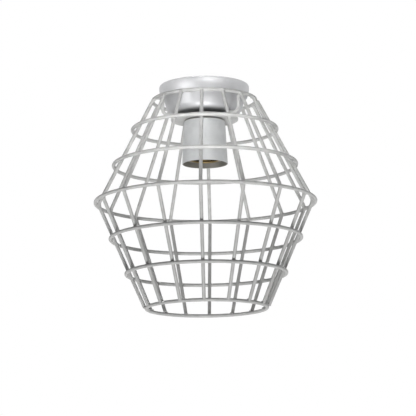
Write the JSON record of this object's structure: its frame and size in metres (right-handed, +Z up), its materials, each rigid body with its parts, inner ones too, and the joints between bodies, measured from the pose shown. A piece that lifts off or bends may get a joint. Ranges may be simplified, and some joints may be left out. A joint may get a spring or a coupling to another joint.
{
  "type": "caged ceiling light",
  "caption": "Ceiling light with a spun metal canopy, a screw lamp holder and an open double-cone shade welded from silver wire.",
  "frame": {"origin": "centre of the canopy's face on the ceiling, midway between the bracket's two slots", "axes": "+Z up along the light's axis towards the ceiling, +X along the bracket"},
  "size_m": [0.224, 0.224, 0.2284],
  "materials": {
    "shade_paint": "silver paint",
    "canopy_aluminium": "spun, polished",
    "holder_metal": "satin",
    "steel": "zinc plated",
    "brass": "bright",
    "ceramic": "white glaze",
    "block_plastic": "moulded",
    "live_insulation": "brown sleeve",
    "neutral_insulation": "blue sleeve"
  },
  "bodies": {
    "root": {"top_ring": "shade_paint", "shoulder_ring_1": "shade_paint", "shoulder_ring_2": "shade_paint", "waist_ring": "shade_paint", "skirt_ring_1": "shade_paint", "skirt_ring_2": "shade_paint", "bottom_ring": "shade_paint", "rib_01": "shade_paint", "rib_02": "shade_paint", "rib_03": "shade_paint", "rib_04": "shade_paint", "rib_05": "shade_paint", "rib_06": "shade_paint", "rib_07": "shade_paint", "rib_08": "shade_paint", "rib_09": "shade_paint", "rib_10": "shade_paint", "rib_11": "shade_paint", "rib_12": "shade_paint", "rib_13": "shade_paint", "rib_14": "shade_paint", "rib_15": "shade_paint", "rib_16": "shade_paint", "fitter_arm_1": "shade_paint", "fitter_arm_2": "shade_paint", "fitter_arm_3": "shade_paint", "fitter_plate": "shade_paint", "canopy": "canopy_aluminium", "holder_cup": "holder_metal", "ceiling_bracket": "steel", "nipple": "steel", "nipple_nuts": "steel", "lock_washer": "steel", "block_screw": "steel", "earth_screw": "steel", "earth_washer": "steel", "holder_yoke": "steel", "core_screws": "steel", "clamp_screws": "steel", "block_tubes": "brass", "screw_shell": "brass", "centre_contact": "brass", "holder_terminals": "brass", "ceramic_core": "ceramic", "terminal_block": "block_plastic", "live_lead": "live_insulation", "neutral_lead": "neutral_insulation"}
  },
  "joints": []
}
